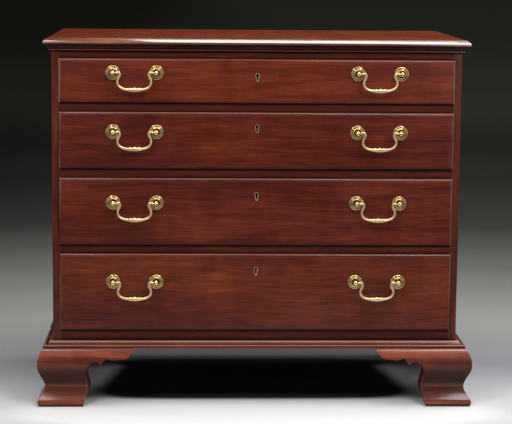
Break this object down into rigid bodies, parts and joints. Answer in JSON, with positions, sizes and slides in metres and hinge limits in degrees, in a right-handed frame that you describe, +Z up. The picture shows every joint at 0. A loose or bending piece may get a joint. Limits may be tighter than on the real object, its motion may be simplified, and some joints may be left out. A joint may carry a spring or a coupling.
{
  "type": "chest of drawers",
  "caption": "Straight-front chest of graduated sliding drawers with lipped fronts, moulded top and base, ogee bracket feet and hinged swan-neck bail handles on round rosettes.",
  "frame": {"origin": "on the floor, under the middle of the chest's box", "axes": "+Z up, X along the front with +X to the right of someone who faces the chest, -Y out of the front"},
  "size_m": [1.059, 0.549, 0.893],
  "materials": {
    "mahogany": "dark red-brown mahogany, polished with shellac and wax, worn lighter along the moulded edges",
    "secondary_wood": "plain planed softwood, unfinished, aged to a dull tan",
    "brass": "cast brass, lacquered and polished on the high places, darker in the recesses"
  },
  "bodies": {
    "case": {"top_board": "mahogany", "under_top_moulding": "mahogany", "case_side_left": "mahogany", "case_side_right": "mahogany", "case_bottom": "secondary_wood", "back_board": "secondary_wood", "top_rail": "mahogany", "drawer_divider_1": "mahogany", "drawer_divider_2": "mahogany", "drawer_divider_3": "mahogany", "bottom_rail": "mahogany", "base_moulding": "mahogany", "foot_front_left": "mahogany", "foot_front_right": "mahogany", "foot_rear_left": "mahogany", "foot_rear_right": "mahogany"},
    "drawer_1": {"drawer_1_front": "mahogany", "drawer_1_side_left": "secondary_wood", "drawer_1_side_right": "secondary_wood", "drawer_1_back": "secondary_wood", "drawer_1_bottom": "secondary_wood", "handle_1_left_post_outer": "brass", "handle_1_left_post_inner": "brass", "handle_1_right_post_outer": "brass", "handle_1_right_post_inner": "brass"},
    "bail_1_left": {"handle_1_left_bail": "brass"},
    "bail_1_right": {"handle_1_right_bail": "brass"},
    "drawer_2": {"drawer_2_front": "mahogany", "drawer_2_side_left": "secondary_wood", "drawer_2_side_right": "secondary_wood", "drawer_2_back": "secondary_wood", "drawer_2_bottom": "secondary_wood", "handle_2_left_post_outer": "brass", "handle_2_left_post_inner": "brass", "handle_2_right_post_outer": "brass", "handle_2_right_post_inner": "brass"},
    "bail_2_left": {"handle_2_left_bail": "brass"},
    "bail_2_right": {"handle_2_right_bail": "brass"},
    "drawer_3": {"drawer_3_front": "mahogany", "drawer_3_side_left": "secondary_wood", "drawer_3_side_right": "secondary_wood", "drawer_3_back": "secondary_wood", "drawer_3_bottom": "secondary_wood", "handle_3_left_post_outer": "brass", "handle_3_left_post_inner": "brass", "handle_3_right_post_outer": "brass", "handle_3_right_post_inner": "brass"},
    "bail_3_left": {"handle_3_left_bail": "brass"},
    "bail_3_right": {"handle_3_right_bail": "brass"},
    "drawer_4": {"drawer_4_front": "mahogany", "drawer_4_side_left": "secondary_wood", "drawer_4_side_right": "secondary_wood", "drawer_4_back": "secondary_wood", "drawer_4_bottom": "secondary_wood", "handle_4_left_post_outer": "brass", "handle_4_left_post_inner": "brass", "handle_4_right_post_outer": "brass", "handle_4_right_post_inner": "brass"},
    "bail_4_left": {"handle_4_left_bail": "brass"},
    "bail_4_right": {"handle_4_right_bail": "brass"}
  },
  "joints": [
    {"name": "drawer_1_slide", "type": "slide", "parent": "case", "child": "drawer_1", "axis": [0, -1, 0], "range_m": [0, 0.4]},
    {"name": "bail_1_left_swing", "type": "hinge", "parent": "drawer_1", "child": "bail_1_left", "pos_m": [-0.294, -0.2615, 0.812], "axis": [-1, 0, 0], "range_deg": [-12, 105]},
    {"name": "bail_1_right_swing", "type": "hinge", "parent": "drawer_1", "child": "bail_1_right", "pos_m": [0.294, -0.2615, 0.812], "axis": [-1, 0, 0], "range_deg": [-12, 105]},
    {"name": "drawer_2_slide", "type": "slide", "parent": "case", "child": "drawer_2", "axis": [0, -1, 0], "range_m": [0, 0.4]},
    {"name": "bail_2_left_swing", "type": "hinge", "parent": "drawer_2", "child": "bail_2_left", "pos_m": [-0.294, -0.2615, 0.67], "axis": [-1, 0, 0], "range_deg": [-12, 105]},
    {"name": "bail_2_right_swing", "type": "hinge", "parent": "drawer_2", "child": "bail_2_right", "pos_m": [0.294, -0.2615, 0.67], "axis": [-1, 0, 0], "range_deg": [-12, 105]},
    {"name": "drawer_3_slide", "type": "slide", "parent": "case", "child": "drawer_3", "axis": [0, -1, 0], "range_m": [0, 0.4]},
    {"name": "bail_3_left_swing", "type": "hinge", "parent": "drawer_3", "child": "bail_3_left", "pos_m": [-0.294, -0.2615, 0.4986], "axis": [-1, 0, 0], "range_deg": [-12, 105]},
    {"name": "bail_3_right_swing", "type": "hinge", "parent": "drawer_3", "child": "bail_3_right", "pos_m": [0.294, -0.2615, 0.4986], "axis": [-1, 0, 0], "range_deg": [-12, 105]},
    {"name": "drawer_4_slide", "type": "slide", "parent": "case", "child": "drawer_4", "axis": [0, -1, 0], "range_m": [0, 0.4]},
    {"name": "bail_4_left_swing", "type": "hinge", "parent": "drawer_4", "child": "bail_4_left", "pos_m": [-0.294, -0.2615, 0.305], "axis": [-1, 0, 0], "range_deg": [-12, 105]},
    {"name": "bail_4_right_swing", "type": "hinge", "parent": "drawer_4", "child": "bail_4_right", "pos_m": [0.294, -0.2615, 0.305], "axis": [-1, 0, 0], "range_deg": [-12, 105]}
  ]
}
